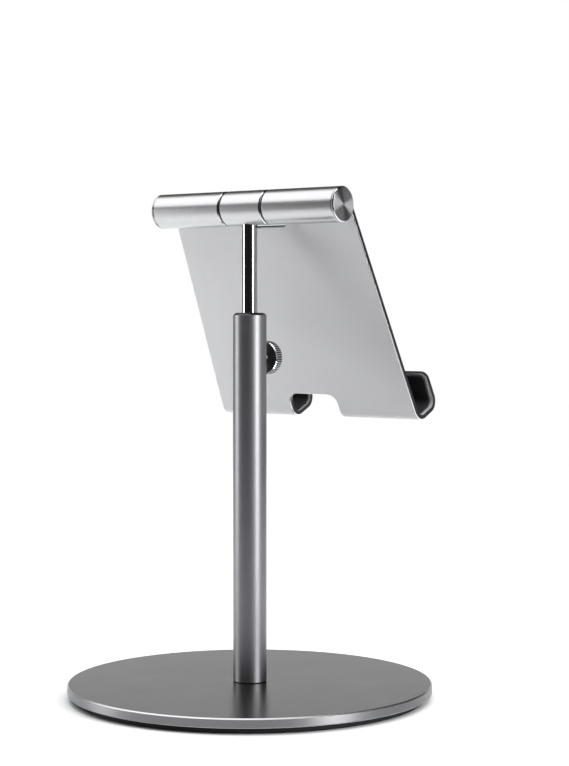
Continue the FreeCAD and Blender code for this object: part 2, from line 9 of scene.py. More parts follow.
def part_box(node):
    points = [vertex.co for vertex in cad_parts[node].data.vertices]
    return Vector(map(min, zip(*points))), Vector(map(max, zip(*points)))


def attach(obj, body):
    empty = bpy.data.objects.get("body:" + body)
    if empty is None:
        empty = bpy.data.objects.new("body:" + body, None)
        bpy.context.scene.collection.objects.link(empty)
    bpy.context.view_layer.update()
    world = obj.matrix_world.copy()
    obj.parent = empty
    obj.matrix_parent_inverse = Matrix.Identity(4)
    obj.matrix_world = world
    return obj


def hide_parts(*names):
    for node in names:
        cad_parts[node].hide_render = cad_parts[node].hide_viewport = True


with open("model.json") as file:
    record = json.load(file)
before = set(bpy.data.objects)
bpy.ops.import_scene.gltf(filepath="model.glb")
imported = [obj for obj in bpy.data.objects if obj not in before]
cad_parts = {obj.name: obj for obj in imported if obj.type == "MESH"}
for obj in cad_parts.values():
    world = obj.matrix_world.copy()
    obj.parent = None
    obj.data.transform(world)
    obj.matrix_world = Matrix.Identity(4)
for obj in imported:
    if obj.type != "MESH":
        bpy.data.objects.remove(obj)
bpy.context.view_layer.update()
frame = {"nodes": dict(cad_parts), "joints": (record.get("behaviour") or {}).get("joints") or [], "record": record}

# ------------------------------------------------------------------ camera
# A long lens behind the stand, at the height of the tube's mouth, a little off the column's line.
MM = 0.001
Z_AXIS = Vector((0, 0, 1))
camera_turn = math.radians(218.17)
camera_distance = 787 * MM
camera_height = 156.7 * MM
camera_focal_mm = 90.1
camera_sensor_mm = 36
camera_nearest = 10 * MM
towards_camera = Vector((math.sin(camera_turn), -math.cos(camera_turn), 0))
to_the_right = Vector((math.cos(camera_turn), math.sin(camera_turn), 0))
aim_beside_column = 14.27 * MM
aim_height = 129.35 * MM

camera_data = bpy.data.cameras.new("camera")
camera_data.lens = camera_focal_mm
camera_data.sensor_width = camera_sensor_mm
camera_data.clip_start = camera_nearest
camera = bpy.data.objects.new("camera", camera_data)
bpy.context.scene.collection.objects.link(camera)
camera.location = towards_camera * camera_distance + Z_AXIS * camera_height
camera_aim = to_the_right * aim_beside_column + Z_AXIS * aim_height
camera.rotation_euler = (camera_aim - camera.location).to_track_quat("-Z", "Y").to_euler()
bpy.context.scene.camera = camera
bpy.context.scene.view_settings.view_transform = "Standard"

# ------------------------------------------------------------------ studio
# A white table that fades into a white room. The room is dark to reflections, so that the soft boxes
# draw bright bands on the metal: one each side, a wide one beyond the stand, and two overhead.
table_radius = 0.95
table_fade = 0.45
table_centre = towards_camera * -0.45
table_white = (0.86, 0.865, 0.87, 1)
room_white = (1, 1, 1, 1)
room_glow = 0.02
lights_aim = Z_AXIS * 0.12


def round_the_column(bearing, distance, height):
    """A place for a light. The bearing is in degrees, from the camera's side towards its right."""
    turn = math.radians(bearing)
    outwards = towards_camera * math.cos(turn) + to_the_right * math.sin(turn)
    return outwards * distance + Z_AXIS * height


def soft_box(name, place, aim, width, height, radiance):
    """A rectangular light of even brightness that the camera itself doesn't see."""
    data = bpy.data.lights.new(name, "AREA")
    data.shape = "RECTANGLE"
    data.size = width
    data.size_y = height
    data.energy = radiance * math.pi * width * height
    lamp = bpy.data.objects.new(name, data)
    bpy.context.scene.collection.objects.link(lamp)
    lamp.location = place
    lamp.rotation_euler = (aim - place).to_track_quat("-Z", "Y").to_euler()
    lamp.visible_camera = False
    return lamp


for name, bearing, distance, above_table, width, height, radiance in (
    ("key_box", 52, 0.95, 0.34, 0.34, 0.95, 9.6),
    ("side_box", -99, 0.95, 0.12, 0.34, 0.50, 5.6),
    ("back_box", 180, 1.5, 0.26, 2.0, 0.58, 0.80),
):
    place = round_the_column(bearing, distance, above_table)
    soft_box(name, place, lights_aim, width, height, radiance)
head_place = round_the_column(bearing=-90, distance=0.60, height=0.75) + towards_camera * 0.06
head_box = soft_box("head_box", head_place, head_place - Z_AXIS, width=1.70, height=1.10, radiance=1.75)
head_box.visible_diffuse = False
fill_place = round_the_column(bearing=180, distance=0.35, height=1.1)
table_fill = soft_box("table_fill", fill_place, fill_place - Z_AXIS, width=2.4, height=2.4, radiance=2.1)
table_fill.visible_glossy = False


def feed(tree, socket, value):
    """Links a socket to another one, or sets it to a number, a colour or a vector."""
    if isinstance(value, bpy.types.NodeSocket):
        tree.links.new(value, socket)
    else:
        socket.default_value = value


def add_node(tree, kind, **inputs):
    """Adds a shader node and feeds its inputs by name."""
    node = tree.nodes.new(kind)
    for name, value in inputs.items():
        feed(tree, node.inputs[name.replace("_", " ")], value)
    return node


def maths(tree, kind, operation, *values):
    """Adds a step of arithmetic on the values or sockets given, and returns its outputs."""
    node = tree.nodes.new(kind)
    node.operation = operation
    for socket, value in zip(node.inputs, values):
        feed(tree, socket, value)
    return node.outputs


def mixed(tree, share, first, second):
    """Mixes two shaders. share is how much of the second one there is."""
    mix = add_node(tree, "ShaderNodeMixShader", Fac=share)
    tree.links.new(first, mix.inputs[1])
    tree.links.new(second, mix.inputs[2])
    return mix.outputs["Shader"]


world = bpy.data.worlds.new("room")
bpy.context.scene.world = world
world.use_nodes = True
room = world.node_tree
room.nodes.clear()
seen = add_node(room, "ShaderNodeBackground", Color=room_white, Strength=1.0)
reflected = add_node(room, "ShaderNodeBackground", Color=room_white, Strength=room_glow)
camera_ray = add_node(room, "ShaderNodeLightPath").outputs["Is Camera Ray"]
room_look = mixed(room, camera_ray, reflected.outputs["Background"], seen.outputs["Background"])
add_node(room, "ShaderNodeOutputWorld", Surface=room_look)

table_work = bmesh.new()
bmesh.ops.create_circle(table_work, cap_ends=True, segments=96, radius=table_radius)
bmesh.ops.translate(table_work, verts=table_work.verts, vec=table_centre)
table_mesh = bpy.data.meshes.new("table_top")
table_work.to_mesh(table_mesh)
table_work.free()
table_top = bpy.data.objects.new("table_top", table_mesh)
bpy.context.scene.collection.objects.link(table_top)
table_material = bpy.data.materials.new("white_table")
table_material.use_nodes = True
table = table_material.node_tree
table.nodes.clear()
table_place = add_node(table, "ShaderNodeTexCoord").outputs["Object"]
from_centre = maths(table, "ShaderNodeVectorMath", "DISTANCE", table_place, table_centre)["Value"]
fade = add_node(table, "ShaderNodeMapRange", Value=from_centre)
fade.interpolation_type = "SMOOTHSTEP"
fade.inputs["From Min"].default_value = table_radius - table_fade
fade.inputs["From Max"].default_value = table_radius
painted = add_node(table, "ShaderNodeBsdfDiffuse", Color=table_white)
faded = add_node(table, "ShaderNodeBsdfTransparent")
table_look = mixed(table, fade.outputs["Result"], painted.outputs["BSDF"], faded.outputs["BSDF"])
add_node(table, "ShaderNodeOutputMaterial", Surface=table_look)
table_mesh.materials.append(table_material)

# ------------------------------------------------------------------ base disc
# A heavy steel disc, faced on the lathe, blasted and coated dark grey. Both rims get a bright chamfer
# cut after the coating. It is countersunk from below for the column's screw.
disc_low, disc_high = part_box("base_disc")
disc_radius = (disc_high.x - disc_low.x) / 2
disc_top_chamfer = 0.5 * MM
disc_bottom_chamfer = 0.3 * MM
disc_hole_radius = 3.1 * MM
disc_head_radius = 6.1 * MM
disc_head_sink = 0.2 * MM
disc_soft_edge = 0.04 * MM
disc_side_slope = 0.2


def new_group(name, inputs, outputs):
    """An empty shader group with number inputs, each with its usual value, and named outputs."""
    tree = bpy.data.node_groups.new(name, "ShaderNodeTree")
    for label, value in inputs.items():
        socket = tree.interface.new_socket(label, in_out="INPUT", socket_type="NodeSocketFloat")
        socket.default_value = value
    for label in outputs:
        tree.interface.new_socket(label, in_out="OUTPUT", socket_type="NodeSocketFloat")
    return tree, tree.nodes.new("NodeGroupInput"), tree.nodes.new("NodeGroupOutput")


def use_group(tree, group, **inputs):
    """Places a shader group in a material and feeds it this material's own values."""
    node = tree.nodes.new("ShaderNodeGroup")
    node.node_tree = group
    for name, value in inputs.items():
        feed(tree, node.inputs[name.replace("_", " ")], value)
    return node


def spread(tree, value, low, high):
    """Maps a mask from 0..1 to low..high."""
    return add_node(tree, "ShaderNodeMapRange", Value=value, To_Min=low, To_Max=high).outputs["Result"]


def shaded(tree, colour, value, amount):
    """A colour made a little lighter and darker by a mask that varies about a half."""
    scaled = add_node(tree, "ShaderNodeVectorMath")
    scaled.operation = "SCALE"
    scaled.inputs[0].default_value = colour[:3]
    tree.links.new(spread(tree, value, 1 - amount, 1 + amount), scaled.inputs["Scale"])
    return scaled.outputs["Vector"]


# Blasted grain: the fine pits that glass beads leave, with a slower change from one area to the next.
blast_tree, blast_in, blast_out = new_group(
    "blasted_grain", {"Grain Size": 0.18 * MM, "Patch Size": 14 * MM}, ["Grain", "Patches"]
)
blast_place = add_node(blast_tree, "ShaderNodeTexCoord").outputs["Object"]
for size, detail, mask in (("Grain Size", 3.0, "Grain"), ("Patch Size", 4.0, "Patches")):
    per_metre = maths(blast_tree, "ShaderNodeMath", "DIVIDE", 1, blast_in.outputs[size])[0]
    noise = add_node(blast_tree, "ShaderNodeTexNoise", Vector=blast_place, Scale=per_metre, Detail=detail)
    blast_tree.links.new(noise.outputs["Fac"], blast_out.inputs[mask])


def principled(name, **inputs):
    """A material with one Principled shader. Inputs are set on its own sockets."""
    material = bpy.data.materials.new(name)
    material.use_nodes = True
    tree = material.node_tree
    tree.nodes.clear()
    shader = add_node(tree, "ShaderNodeBsdfPrincipled", **inputs)
    add_node(tree, "ShaderNodeOutputMaterial", Surface=shader.outputs["BSDF"])
    return material, tree, shader


def textured(tree, shader, colour, roughness, relief, relief_depth):
    """Gives a shader its colour and roughness masks, and a bump from a height mask."""
    bump = add_node(tree, "ShaderNodeBump", Height=relief, Distance=relief_depth)
    tree.links.new(colour, shader.inputs["Base Color"])
    tree.links.new(roughness, shader.inputs["Roughness"])
    tree.links.new(bump.outputs["Normal"], shader.inputs["Normal"])


def blasted_metal(name, colour, roughness, grain_size, grain_depth, colour_change=0.05):
    """Bead-blasted metal: grain in the bump and the colour, and slow patches in the roughness."""
    rough_change = 0.02
    material, tree, shader = principled(name, Metallic=1.0)
    skin = use_group(tree, blast_tree, Grain_Size=grain_size).outputs
    tint = shaded(tree, colour, skin["Grain"], colour_change)
    rough = spread(tree, skin["Patches"], roughness - rough_change, roughness + rough_change)
    textured(tree, shader, tint, rough, skin["Grain"], grain_depth)
    return material


# Turning marks: the fine rings that a lathe tool leaves, as a pattern along one distance.
turning_tree, turning_in, turning_out = new_group(
    "turning_marks", {"Distance": 0.0, "Pitch": 0.12 * MM}, ["Rings", "Bands"]
)
turning_step = maths(
    turning_tree, "ShaderNodeMath", "DIVIDE", turning_in.outputs["Distance"], turning_in.outputs["Pitch"]
)[0]
for mask, scale, detail in (("Rings", 1.0, 2.0), ("Bands", 0.14, 3.0)):
    noise = add_node(turning_tree, "ShaderNodeTexNoise", Scale=scale, Detail=detail)
    noise.noise_dimensions = "1D"
    turning_tree.links.new(turning_step, noise.inputs["W"])
    turning_tree.links.new(noise.outputs["Fac"], turning_out.inputs[mask])


def offset_from(tree, centre):
    """Where a point lies from a centre."""
    place = add_node(tree, "ShaderNodeTexCoord").outputs["Object"]
    return maths(tree, "ShaderNodeVectorMath", "SUBTRACT", place, centre)["Vector"]


def distance_along(tree, axis, centre):
    """How far a point lies along an axis from a centre."""
    return maths(tree, "ShaderNodeVectorMath", "DOT_PRODUCT", offset_from(tree, centre), axis)["Value"]


def distance_from(tree, axis, centre):
    """How far a point lies from an axis through a centre."""
    beside = maths(tree, "ShaderNodeVectorMath", "CROSS_PRODUCT", offset_from(tree, centre), axis)["Vector"]
    return maths(tree, "ShaderNodeVectorMath", "LENGTH", beside)["Value"]


def in_room(tree, direction):
    """A direction that belongs to the object, as it lies in the room."""
    moved = add_node(tree, "ShaderNodeVectorTransform", Vector=direction)
    moved.vector_type = "VECTOR"
    moved.convert_from = "OBJECT"
    moved.convert_to = "WORLD"
    return moved.outputs["Vector"]


def across_rings(tree, axis, centre):
    """The direction straight to or from an axis, across the rings that a facing tool leaves."""
    direction = offset_from(tree, centre)
    for _ in range(2):
        direction = maths(tree, "ShaderNodeVectorMath", "CROSS_PRODUCT", direction, axis)["Vector"]
    return in_room(tree, direction)


def turned_metal(name, colour, roughness, axis, centre, across, pitch, depth, anisotropy=0.0):
    """Metal with lathe marks: rings spaced along the axis, or outwards from it where across is true."""
    colour_change = 0.06
    rough_change = 0.05
    material, tree, shader = principled(name, Metallic=1.0, Anisotropic=anisotropy)
    distance = distance_from(tree, axis, centre) if across else distance_along(tree, axis, centre)
    marks = use_group(tree, turning_tree, Distance=distance, Pitch=pitch).outputs
    tint = shaded(tree, colour, marks["Bands"], colour_change)
    rough = spread(tree, marks["Rings"], roughness - rough_change, roughness + rough_change)
    textured(tree, shader, tint, rough, marks["Rings"], depth)
    if anisotropy:
        direction = across_rings(tree, axis, centre) if across else in_room(tree, axis)
        tree.links.new(direction, shader.inputs["Tangent"])
    return material


def is_chamfer(face, axis, within_degrees=15):
    """Whether a face leans about 45 degrees to an axis."""
    lean = math.degrees(face.normal.angle(axis))
    return abs(min(lean, 180 - lean) - 45) < within_degrees


def turned(outline, axis, centre, closed=False, steps=128, soft_edge=0.05 * MM):
    """Spins an outline of (distance along the axis, radius) once round, and softens its edges."""
    side = axis.orthogonal().normalized()
    work = bmesh.new()
    points = [work.verts.new(centre + axis * along + side * radius) for along, radius in outline]
    lines = [work.edges.new(pair) for pair in zip(points, points[1:])]
    if closed:
        lines.append(work.edges.new((points[-1], points[0])))
    bmesh.ops.spin(
        work,
        geom=points + lines,
        cent=centre,
        axis=axis,
        angle=2 * math.pi,
        steps=steps,
        use_merge=True,
    )
    bmesh.ops.remove_doubles(work, verts=work.verts, dist=0.001 * MM)
    bmesh.ops.recalc_face_normals(work, faces=work.faces)
    for face in work.faces:
        face.material_index = int(is_chamfer(face, axis))
    if soft_edge:
        soften(work, soft_edge)
    return work


def soften(work, width, over_degrees=20, segments=2):
    """Bevels every edge that turns by more than an angle, as a tumbled or broken edge."""
    sharp = [
        edge
        for edge in work.edges
        if len(edge.link_faces) == 2 and math.degrees(edge.calc_face_angle()) > over_degrees
    ]
    bmesh.ops.bevel(
        work,
        geom=sharp,
        offset=width,
        offset_type="OFFSET",
        affect="EDGES",
        segments=segments,
        profile=0.5,
        material=-1,
        clamp_overlap=True,
    )


def finished(name, work, body, nodes, slot, *materials, crease_degrees=24):
    """Makes the worked mesh a piece: its normals, materials, body, and the CAD nodes it stands for."""
    mesh = bpy.data.meshes.new(name)
    work.to_mesh(mesh)
    work.free()
    for polygon in mesh.polygons:
        polygon.use_smooth = True
    mesh.set_sharp_from_angle(angle=math.radians(crease_degrees))
    piece = bpy.data.objects.new(name, mesh)
    bpy.context.scene.collection.objects.link(piece)
    for material in materials:
        mesh.materials.append(material)
    flat = piece.modifiers.new("flat_faces", "WEIGHTED_NORMAL")
    flat.keep_sharp = True
    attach(piece, body)
    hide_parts(*nodes)
    return piece


disc_coating = blasted_metal(
    "dark_coating",
    colour=(0.096, 0.096, 0.10, 1),
    roughness=0.26,
    grain_size=0.22 * MM,
    grain_depth=0.006 * MM,
)
turned_rim = turned_metal(
    "turned_rim",
    colour=(0.26, 0.26, 0.265, 1),
    roughness=0.46,
    axis=Z_AXIS,
    centre=Vector(),
    across=False,
    pitch=0.10 * MM,
    depth=0.001 * MM,
    anisotropy=0.8,
)
bright_cut = turned_metal(
    "bright_cut",
    colour=(0.60, 0.60, 0.61, 1),
    roughness=0.34,
    axis=Z_AXIS,
    centre=Vector(),
    across=False,
    pitch=0.05 * MM,
    depth=0.0004 * MM,
)
disc_outline = [
    (disc_low.z, disc_head_radius),
    (disc_low.z, disc_radius - disc_bottom_chamfer),
    (disc_low.z + disc_bottom_chamfer, disc_radius),
    (disc_high.z - disc_top_chamfer, disc_radius),
    (disc_high.z, disc_radius - disc_top_chamfer),
    (disc_high.z, disc_hole_radius),
    (disc_low.z + disc_head_sink + disc_head_radius - disc_hole_radius, disc_hole_radius),
    (disc_low.z + disc_head_sink, disc_head_radius),
]
disc_work = turned(disc_outline, Z_AXIS, Vector(), closed=True, steps=256, soft_edge=disc_soft_edge)
for face in disc_work.faces:
    outside = face.calc_center_median().xy.length > disc_radius - disc_top_chamfer
    if outside and abs(face.normal.z) < disc_side_slope:
        face.material_index = 2
finished(
    "base_disc_turned",
    disc_work,
    "stand",
    ["base_disc"],
    "base_coating",
    disc_coating,
    bright_cut,
    turned_rim,
)

# ------------------------------------------------------------------ base pad
# A moulded silicone ring glued under the disc. Two shallow grooves let it grip the desk, and its
# lower edge is round.
pad_low, pad_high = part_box("base_pad")
pad_radius = (pad_high.x - pad_low.x) / 2
pad_hole_radius = 9.5 * MM
pad_groove_radii = (24 * MM, 46 * MM)
pad_groove_half = 0.8 * MM
pad_groove_depth = 0.5 * MM
pad_edge = 0.4 * MM
pad_soft_edge = 0.12 * MM


def silicone(name, colour, roughness):
    """Moulded silicone rubber: nearly black, with a fine matt skin and a little dust."""
    material, tree, shader = principled(name, Metallic=0.0)
    shader.inputs["Specular IOR Level"].default_value = 0.2
    skin = use_group(tree, blast_tree, Grain_Size=0.12 * MM, Patch_Size=9 * MM).outputs
    dusty = shaded(tree, colour, skin["Patches"], amount=0.35)
    rough = spread(tree, skin["Patches"], roughness - 0.12, roughness + 0.12)
    textured(tree, shader, dusty, rough, skin["Grain"], relief_depth=0.01 * MM)
    return material


black_silicone = silicone("black_silicone", colour=(0.016, 0.016, 0.018, 1), roughness=0.62)
pad_outline = [(pad_high.z, pad_hole_radius), (pad_low.z, pad_hole_radius)]
for groove in pad_groove_radii:
    pad_outline += [
        (pad_low.z, groove - pad_groove_half),
        (pad_low.z + pad_groove_depth, groove - pad_groove_half),
        (pad_low.z + pad_groove_depth, groove + pad_groove_half),
        (pad_low.z, groove + pad_groove_half),
    ]
pad_outline += [
    (pad_low.z, pad_radius - pad_edge),
    (pad_low.z + pad_edge, pad_radius),
    (pad_high.z, pad_radius),
]
pad_work = turned(pad_outline, Z_AXIS, Vector(), closed=True, steps=192, soft_edge=pad_soft_edge)
finished("base_pad_ring", pad_work, "stand", ["base_pad"], "silicone", black_silicone, black_silicone)

# ------------------------------------------------------------------ base screw and foot plug
# A black countersunk socket screw comes up through the disc into a steel plug, which is pressed into
# the tube's foot. Only the screw's head shows, in the middle of the pad.
screw_low, screw_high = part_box("base_screw")
base_screw_radius = 3 * MM
base_screw_head_radius = 6 * MM
base_screw_socket = 4 * MM
base_screw_socket_depth = 2 * MM


def hex_socket(work, axis, centre, flats, depth):
    """Sinks a hexagonal socket into the flat end at centre. axis points out of the end."""
    bmesh.ops.holes_fill(work, edges=[e for e in work.edges if e.is_boundary], sides=0)
    bmesh.ops.recalc_face_normals(work, faces=work.faces)
    end = min(work.faces, key=lambda face: (face.calc_center_median() - centre).length)
    side = axis.orthogonal().normalized()
    up = axis.cross(side)
    bmesh.ops.inset_region(work, faces=[end], thickness=0.02 * MM, depth=0)
    for vert in end.verts:
        offset = vert.co - centre
        turn = math.atan2(offset.dot(up), offset.dot(side)) % (math.pi / 3) - math.pi / 6
        reach = flats / 2 / math.cos(turn)
        vert.co = centre + offset.normalized() * reach
    sunk = bmesh.ops.extrude_discrete_faces(work, faces=[end])["faces"][0]
    bmesh.ops.translate(work, verts=sunk.verts, vec=axis * -depth)


def fine_steel(name, colour, roughness):
    """Plated or blackened steel, with fine grain and handling marks."""
    return blasted_metal(
        name, colour, roughness, grain_size=0.35 * MM, grain_depth=0.004 * MM, colour_change=0.12
    )


black_oxide = fine_steel("black_oxide", colour=(0.045, 0.045, 0.048, 1), roughness=0.38)
zinc_steel = fine_steel("zinc_steel", colour=(0.56, 0.56, 0.57, 1), roughness=0.28)
neck_z = screw_low.z + base_screw_head_radius - base_screw_radius
base_screw_work = turned(
    [
        (screw_low.z, base_screw_socket),
        (screw_low.z, base_screw_head_radius),
        (neck_z, base_screw_radius),
        (screw_high.z, base_screw_radius),
        (screw_high.z, 0),
    ],
    Z_AXIS,
    Vector(),
    steps=96,
)
hex_socket(
    base_screw_work, -Z_AXIS, Z_AXIS * screw_low.z, base_screw_socket, base_screw_socket_depth
)
finished(
    "base_screw_socket_head",
    base_screw_work,
    "stand",
    ["base_screw"],
    "black_screw",
    black_oxide,
    black_oxide,
)


def dress(node, material):
    """Gives a CAD node that keeps its own shape its material."""
    piece = frame["nodes"][node]
    piece.data.materials.clear()
    piece.data.materials.append(material)


dress("foot_plug", zinc_steel)

# ------------------------------------------------------------------ outer tube
# Drawn aluminium tube, finely blasted and anodised dark grey. Its mouth is chamfered, and a tapped
# hole on the user's side takes the thumbscrew.
Y_AXIS = Vector((0, 1, 0))
tube_low, tube_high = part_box("outer_tube")
tube_radius = (tube_high.x - tube_low.x) / 2
tube_bore = 4.6 * MM
tube_mouth_chamfer = 1.0 * MM
tube_foot_chamfer = 0.3 * MM
tube_inner_chamfer = 0.3 * MM
knob_low, knob_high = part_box("thumb_knob")
thumb_height = (knob_low.z + knob_high.z) / 2
thumb_hole = 2.25 * MM
thumb_hole_depth = 1.4 * MM
half_window = 4.5 * MM
tube_anodise = blasted_metal(
    "grey_anodise",
    colour=(0.25, 0.25, 0.26, 1),
    roughness=0.41,
    grain_size=0.16 * MM,
    grain_depth=0.002 * MM,
)
# The chamfers at the mouth, the foot and the bore are coloured nearly black, darker than the anodising: painted
# shade for the dark gap round the rod, used at the foot and the bore as well.
chamfer_painted_shade = blasted_metal(
    "mouth_chamfer_painted_shade",
    colour=(0.06, 0.06, 0.062, 1),
    roughness=0.14,
    grain_size=0.16 * MM,
    grain_depth=0.001 * MM,
)


def cut_round_hole(work, radius, height, half_window, hole, depth):
    """Opens a round recess in a tube's wall on the user's side, with a small countersink."""
    outer_skin = radius * 0.98
    patch_half_width = half_window * 0.7
    countersink = 1.12
    patch = []
    for face in work.faces:
        spot = face.calc_center_median()
        level = abs(spot.z - height) < half_window
        if level and abs(spot.x) < patch_half_width and spot.y < 0 and spot.xy.length > outer_skin:
            patch.append(face)
    frame_edges = [e for f in patch for e in f.edges if len(set(e.link_faces) & set(patch)) == 1]
    bmesh.ops.delete(work, geom=patch, context="FACES")
    turn = Matrix.Rotation(math.pi / 2, 4, "X")
    place = Matrix.Translation((0, -radius, height)) @ turn
    rim = bmesh.ops.create_circle(work, segments=48, radius=hole * countersink, matrix=place)["verts"]
    for vert in rim:
        vert.co.y = -math.sqrt(radius**2 - vert.co.x**2)
    ring = list({edge for vert in rim for edge in vert.link_edges})
    bmesh.ops.bridge_loops(work, edges=list(set(frame_edges)) + ring)
    for shrink, step in ((1 / countersink, (countersink - 1) * hole), (1.0, depth)):
        grown = bmesh.ops.extrude_edge_only(work, edges=ring)["geom"]
        rim = [item for item in grown if isinstance(item, bmesh.types.BMVert)]
        ring = [item for item in grown if isinstance(item, bmesh.types.BMEdge) and item.is_boundary]
        bmesh.ops.scale(
            work,
            vec=(shrink, 1, shrink),
            space=Matrix.Translation((0, 0, -height)),
            verts=rim,
        )
        bmesh.ops.translate(work, verts=rim, vec=Y_AXIS * step)
    bmesh.ops.contextual_create(work, geom=ring)
    bmesh.ops.recalc_face_normals(work, faces=work.faces)


tube_work = turned(
    [
        (tube_low.z, tube_bore),
        (tube_low.z, tube_radius - tube_foot_chamfer),
        (tube_low.z + tube_foot_chamfer, tube_radius),
        (thumb_height - half_window, tube_radius),
        (thumb_height + half_window, tube_radius),
        (tube_high.z - tube_mouth_chamfer, tube_radius),
        (tube_high.z, tube_radius - tube_mouth_chamfer),
        (tube_high.z, tube_bore + tube_inner_chamfer),
        (tube_high.z - tube_inner_chamfer, tube_bore),
    ],
    Z_AXIS,
    Vector(),
    closed=True,
)
cut_round_hole(tube_work, tube_radius, thumb_height, half_window, thumb_hole, thumb_hole_depth)
# The tube's chamfers take the nearly black second material, which is painted shade.
finished("outer_tube_drawn", tube_work, "stand", ["outer_tube"], "column_anodise", tube_anodise, chamfer_painted_shade)

# ------------------------------------------------------------------ guide bush
# A turned brass sleeve pressed into the tube's mouth. The rod slides in it, and its end shows as a
# thin ring round the rod.
bush_low, bush_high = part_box("guide_bush")
bush_radius = (bush_high.x - bush_low.x) / 2
bush_bore = 3.2 * MM
bush_chamfer = 0.25 * MM
turned_brass = turned_metal(
    "turned_brass",
    colour=(0.62, 0.45, 0.22, 1),
    roughness=0.25,
    axis=Z_AXIS,
    centre=Vector(),
    across=True,
    pitch=0.10 * MM,
    depth=0.001 * MM,
)
bush_work = turned(
    [
        (bush_low.z, bush_bore),
        (bush_low.z, bush_radius),
        (bush_high.z, bush_radius),
        (bush_high.z, bush_bore + bush_chamfer),
        (bush_high.z - bush_chamfer, bush_bore),
    ],
    Z_AXIS,
    Vector(),
    closed=True,
    steps=96,
)
finished("guide_bush_turned", bush_work, "stand", ["guide_bush"], "brass", turned_brass, turned_brass)

# ------------------------------------------------------------------ lift rod
# Ground and chromed steel rod. It is turned down at the foot for its plastic guide, and at the top
# for the hub.
joints = {joint["name"]: joint for joint in frame["joints"]}
rod_low, rod_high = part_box("lift_rod")
guide_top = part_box("rod_guide")[1].z
rod_radius = (rod_high.x - rod_low.x) / 2
rod_spigot = rod_radius - 1.15 * MM
rod_shoulder_z = guide_top + 0.05 * MM
hinge_centre = Vector(joints["tilt"]["pos_m"])
hub_seat_z = hinge_centre.z - 6.4 * MM
hub_spigot = rod_radius - 0.65 * MM
rod_edge = 0.2 * MM


def chromed(name, colour, roughness):
    """Polished chrome with the faintest lengthwise polishing lines and a few smudges."""
    material, tree, shader = principled(name, Metallic=1.0)
    place = add_node(tree, "ShaderNodeTexCoord").outputs["Object"]
    stretched = add_node(tree, "ShaderNodeMapping", Vector=place, Scale=(2500, 2500, 60)).outputs["Vector"]
    lines = add_node(tree, "ShaderNodeTexNoise", Vector=stretched, Scale=1.0, Detail=2.0).outputs["Fac"]
    smudge = add_node(tree, "ShaderNodeTexNoise", Vector=place, Scale=90.0, Detail=3.0).outputs["Fac"]
    tint = shaded(tree, colour, smudge, amount=0.04)
    rough = spread(tree, smudge, roughness, roughness + 0.05)
    textured(tree, shader, tint, rough, lines, relief_depth=0.0002 * MM)
    return material


polished_chrome = chromed("polished_chrome", colour=(0.50, 0.50, 0.51, 1), roughness=0.05)
rod_work = turned(
    [
        (rod_low.z, 0),
        (rod_low.z, rod_spigot),
        (rod_shoulder_z, rod_spigot),
        (rod_shoulder_z, rod_radius - rod_edge),
        (rod_shoulder_z + rod_edge, rod_radius),
        (hub_seat_z - rod_edge, rod_radius),
        (hub_seat_z, rod_radius - rod_edge),
        (hub_seat_z, hub_spigot),
        (rod_high.z, hub_spigot),
        (rod_high.z, 0),
    ],
    Z_AXIS,
    Vector(),
    steps=96,
)
finished(
    "lift_rod_ground", rod_work, "post", ["lift_rod"], "polished_chrome", polished_chrome, polished_chrome
)


def moulded(name, colour, roughness, grain_size):
    """Moulded engineering plastic with a fine spark-eroded skin."""
    material, tree, shader = principled(name, Metallic=0.0)
    skin = use_group(tree, blast_tree, Grain_Size=grain_size).outputs
    tint = shaded(tree, colour, skin["Patches"], amount=0.06)
    rough = spread(tree, skin["Patches"], roughness - 0.08, roughness + 0.08)
    textured(tree, shader, tint, rough, skin["Grain"], relief_depth=0.01 * MM)
    return material


# The guide, its washer and its screw stay inside the tube, so they keep their CAD shapes.
white_acetal = moulded(
    "white_acetal", colour=(0.78, 0.78, 0.74, 1), roughness=0.42, grain_size=0.25 * MM
)
dress("rod_guide", white_acetal)
dress("retaining_washer", zinc_steel)
dress("retaining_screw", zinc_steel)

# ------------------------------------------------------------------ thumbscrew
# A dark anodised knob with a fine straight knurl and bright cut rims, pressed on a steel screw. The
# screw is a coarse metric thread with a soft tip, and its end shows in the knob's dished face.
knob_radius = (knob_high.x - knob_low.x) / 2
knob_teeth = 45
knob_points_per_tooth = 4
knob_points = knob_teeth * knob_points_per_tooth
knob_tooth_depth = 0.35 * MM
knob_land_radius = knob_radius - knob_tooth_depth / 3
knob_rim_chamfer = 0.45 * MM
knob_dish_radius = 4.0 * MM
knob_dish_depth = 0.4 * MM
knob_dish_slope = 0.25 * MM
knob_boss_radius = 2.45 * MM
knob_boss_height = 0.2 * MM
knob_boss_slope = 0.15 * MM
thumb_screw_low, thumb_screw_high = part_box("thumb_screw")
thumb_screw_radius = (thumb_screw_high.x - thumb_screw_low.x) / 2
knob_bore = thumb_screw_radius + 0.05 * MM
knob_bore_depth = 1.0 * MM
thumb_pitch = 0.7 * MM
thread_depth = 0.38 * MM
knob_centre = Vector((0, 0, thumb_height))
knob_dark = blasted_metal(
    "dark_anodise",
    colour=(0.10, 0.10, 0.105, 1),
    roughness=0.34,
    grain_size=0.15 * MM,
    grain_depth=0.003 * MM,
    colour_change=0.08,
)
knob_bright = turned_metal(
    "knob_cut",
    colour=(0.62, 0.62, 0.63, 1),
    roughness=0.2,
    axis=Y_AXIS,
    centre=knob_centre,
    across=True,
    pitch=0.06 * MM,
    depth=0.0006 * MM,
)
